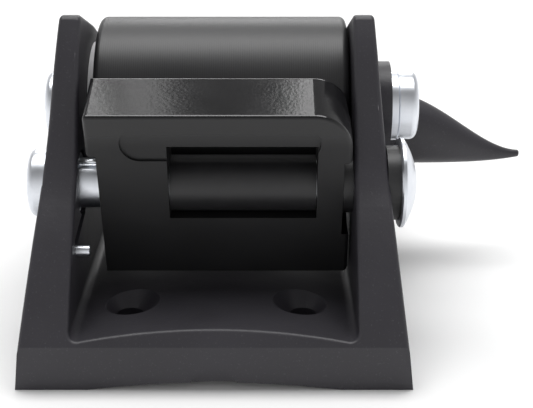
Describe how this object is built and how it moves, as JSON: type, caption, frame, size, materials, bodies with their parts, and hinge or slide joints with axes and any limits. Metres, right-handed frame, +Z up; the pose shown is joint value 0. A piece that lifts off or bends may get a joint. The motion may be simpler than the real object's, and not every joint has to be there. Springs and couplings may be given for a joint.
{
  "type": "lever line lock with belaying horn",
  "caption": "Deck line lock: a cast channel with a guide roller, a sprung jam lever with a window, and one side belaying horn.",
  "frame": {"origin": "centre of the four mounting holes, on the plane the feet stand on", "axes": "+X to the right seen from the mouth (the side the horn is on), +Y from the mouth to the roller end, +Z up from the deck"},
  "size_m": [0.1061, 0.086, 0.0626],
  "materials": {
    "body_paint": "satin",
    "lever_gloss": "gloss",
    "roller_black": "satin",
    "bronze": "satin",
    "black_acetal": "satin",
    "white_acetal": "satin",
    "zinc": "satin",
    "spring_steel": "satin",
    "black_oxide": "satin"
  },
  "bodies": {
    "frame": {"channel_body": "body_paint", "cleat_horn": "body_paint", "lever_spacer": "black_acetal", "thrust_washer": "white_acetal", "pivot_pin": "zinc", "roller_axle": "zinc", "pivot_washer_right": "black_acetal", "pivot_washer_left": "zinc", "axle_washer_right": "zinc", "axle_washer_left": "zinc", "pivot_push_cap": "zinc", "axle_push_cap": "zinc", "spring_anchor_pin": "zinc", "return_spring": "spring_steel", "horn_screw": "black_oxide", "horn_screw_washer": "black_oxide"},
    "lever": {"jam_lever": "lever_gloss", "lever_sleeve": "black_acetal"},
    "guide_roller": {"roller": "roller_black", "roller_bush_right": "bronze", "roller_bush_left": "bronze"}
  },
  "joints": [
    {"name": "lever_pivot", "type": "hinge", "parent": "frame", "child": "lever", "pos_m": [0, -0.018, 0.0311], "axis": [1, 0, 0], "range_deg": [0, 30], "stiffness_Nm_per_rad": 0.15, "springref_deg": -34.38, "deforming": ["return_spring"]},
    {"name": "roller_spin", "type": "hinge", "parent": "frame", "child": "guide_roller", "pos_m": [0, 0.0058, 0.0399], "axis": [1, 0, 0], "continuous": true}
  ]
}
